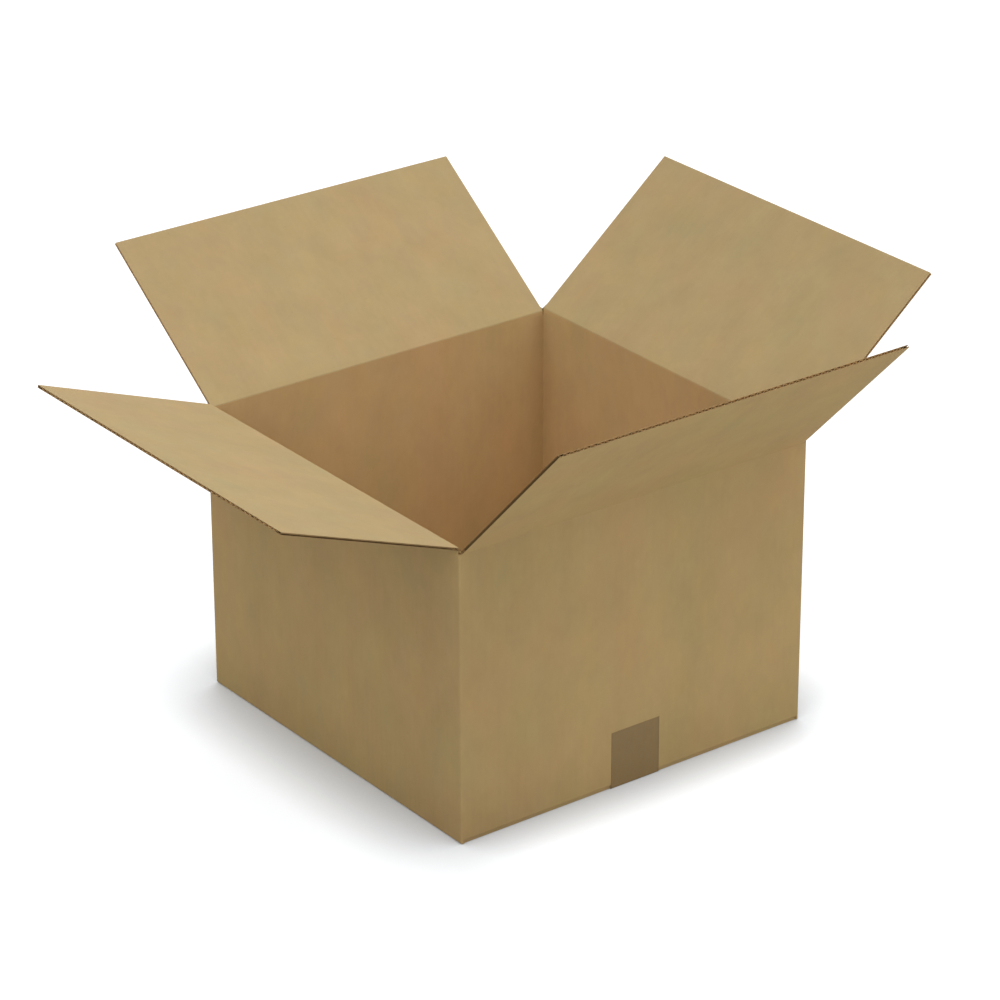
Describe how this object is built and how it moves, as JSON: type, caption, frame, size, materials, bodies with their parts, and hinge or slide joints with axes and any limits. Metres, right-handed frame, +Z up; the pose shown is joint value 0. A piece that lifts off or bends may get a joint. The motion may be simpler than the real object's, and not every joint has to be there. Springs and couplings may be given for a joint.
{
  "type": "open cardboard box",
  "caption": "Square-based corrugated cardboard box folded from one sheet, with hinged top flaps that fold shut over it and a taped bottom.",
  "frame": {"origin": "middle of the underside, on the surface that the box stands on", "axes": "+Z up; X along the bottom seam and its tape, with +X out of the taped end wall that the picture shows; -Y out of the front wall, which carries an outer flap"},
  "size_m": [0.6176, 0.653, 0.3851],
  "materials": {
    "kraft_board": "matte",
    "brown_tape": "satin"
  },
  "bodies": {
    "carton": {"carton_body": "kraft_board", "sealing_tape": "brown_tape"},
    "front_flap": {"outer_flap_front": "kraft_board"},
    "back_flap": {"outer_flap_back": "kraft_board"},
    "left_flap": {"inner_flap_left": "kraft_board"},
    "right_flap": {"inner_flap_right": "kraft_board"}
  },
  "joints": [
    {"name": "front_flap_fold", "type": "hinge", "parent": "carton", "child": "front_flap", "pos_m": [0, -0.1775, 0.26045], "axis": [1, 0, 0], "range_deg": [-159.7, 105.3]},
    {"name": "back_flap_fold", "type": "hinge", "parent": "carton", "child": "back_flap", "pos_m": [0, 0.1775, 0.26045], "axis": [-1, 0, 0], "range_deg": [-140.3, 124.7]},
    {"name": "left_flap_fold", "type": "hinge", "parent": "carton", "child": "left_flap", "pos_m": [-0.1775, 0, 0.2578], "axis": [0, -1, 0], "range_deg": [-144.1, 120.9]},
    {"name": "right_flap_fold", "type": "hinge", "parent": "carton", "child": "right_flap", "pos_m": [0.1775, 0, 0.2578], "axis": [0, 1, 0], "range_deg": [-134, 131]}
  ]
}
